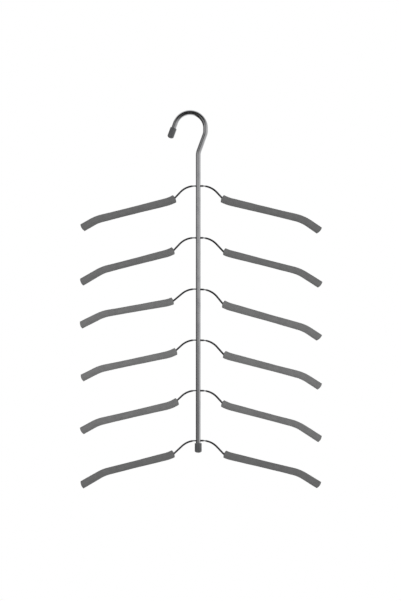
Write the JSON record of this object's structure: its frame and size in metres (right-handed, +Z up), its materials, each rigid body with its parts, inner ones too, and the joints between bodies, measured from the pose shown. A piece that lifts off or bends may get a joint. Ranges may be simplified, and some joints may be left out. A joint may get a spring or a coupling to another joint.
{
  "type": "tiered shirt hanger",
  "caption": "Tiered shirt hanger: a chromed tube hook and post with pairs of bent wire arms, sleeved in grey foam, that swing in holes through the post.",
  "frame": {"origin": "the hook's seat: the point inside the top of the hook that rests on the rail", "axes": "+Z up along the post; +X to the right of someone facing the front of the hanger; +Y away from them"},
  "size_m": [0.3947, 0.0116, 0.6137],
  "materials": {
    "chrome_plating": "polished",
    "foam_rubber": "matte",
    "vinyl_cap": "satin"
  },
  "bodies": {
    "post": {"hook_post": "chrome_plating", "hook_tip_cap": "vinyl_cap", "post_end_cap": "vinyl_cap"},
    "tier_1": {"arm_wire_1": "chrome_plating", "foam_sleeve_1_left": "foam_rubber", "foam_sleeve_1_right": "foam_rubber"},
    "tier_2": {"arm_wire_2": "chrome_plating", "foam_sleeve_2_left": "foam_rubber", "foam_sleeve_2_right": "foam_rubber"},
    "tier_3": {"arm_wire_3": "chrome_plating", "foam_sleeve_3_left": "foam_rubber", "foam_sleeve_3_right": "foam_rubber"},
    "tier_4": {"arm_wire_4": "chrome_plating", "foam_sleeve_4_left": "foam_rubber", "foam_sleeve_4_right": "foam_rubber"},
    "tier_5": {"arm_wire_5": "chrome_plating", "foam_sleeve_5_left": "foam_rubber", "foam_sleeve_5_right": "foam_rubber"},
    "tier_6": {"arm_wire_6": "chrome_plating", "foam_sleeve_6_left": "foam_rubber", "foam_sleeve_6_right": "foam_rubber"}
  },
  "joints": [
    {"name": "tier_1_swing", "type": "hinge", "parent": "post", "child": "tier_1", "pos_m": [0.0132, 0, -0.115], "axis": [1, 0, 0.0052], "continuous": true},
    {"name": "tier_2_swing", "type": "hinge", "parent": "post", "child": "tier_2", "pos_m": [0.0132, 0, -0.199], "axis": [1, 0, 0], "range_deg": [-155, 155]},
    {"name": "tier_3_swing", "type": "hinge", "parent": "post", "child": "tier_3", "pos_m": [0.0132, 0, -0.28225], "axis": [0.9985, 0, -0.0541], "range_deg": [-155, 155]},
    {"name": "tier_4_swing", "type": "hinge", "parent": "post", "child": "tier_4", "pos_m": [0.0132, 0, -0.36475], "axis": [0.9997, 0, -0.0262], "range_deg": [-155, 155]},
    {"name": "tier_5_swing", "type": "hinge", "parent": "post", "child": "tier_5", "pos_m": [0.0132, 0, -0.4465], "axis": [0.9999, 0, -0.0122], "range_deg": [-155, 155]},
    {"name": "tier_6_swing", "type": "hinge", "parent": "post", "child": "tier_6", "pos_m": [0.0132, 0, -0.5275], "axis": [1, 0, 0.0052], "range_deg": [-155, 155]}
  ]
}
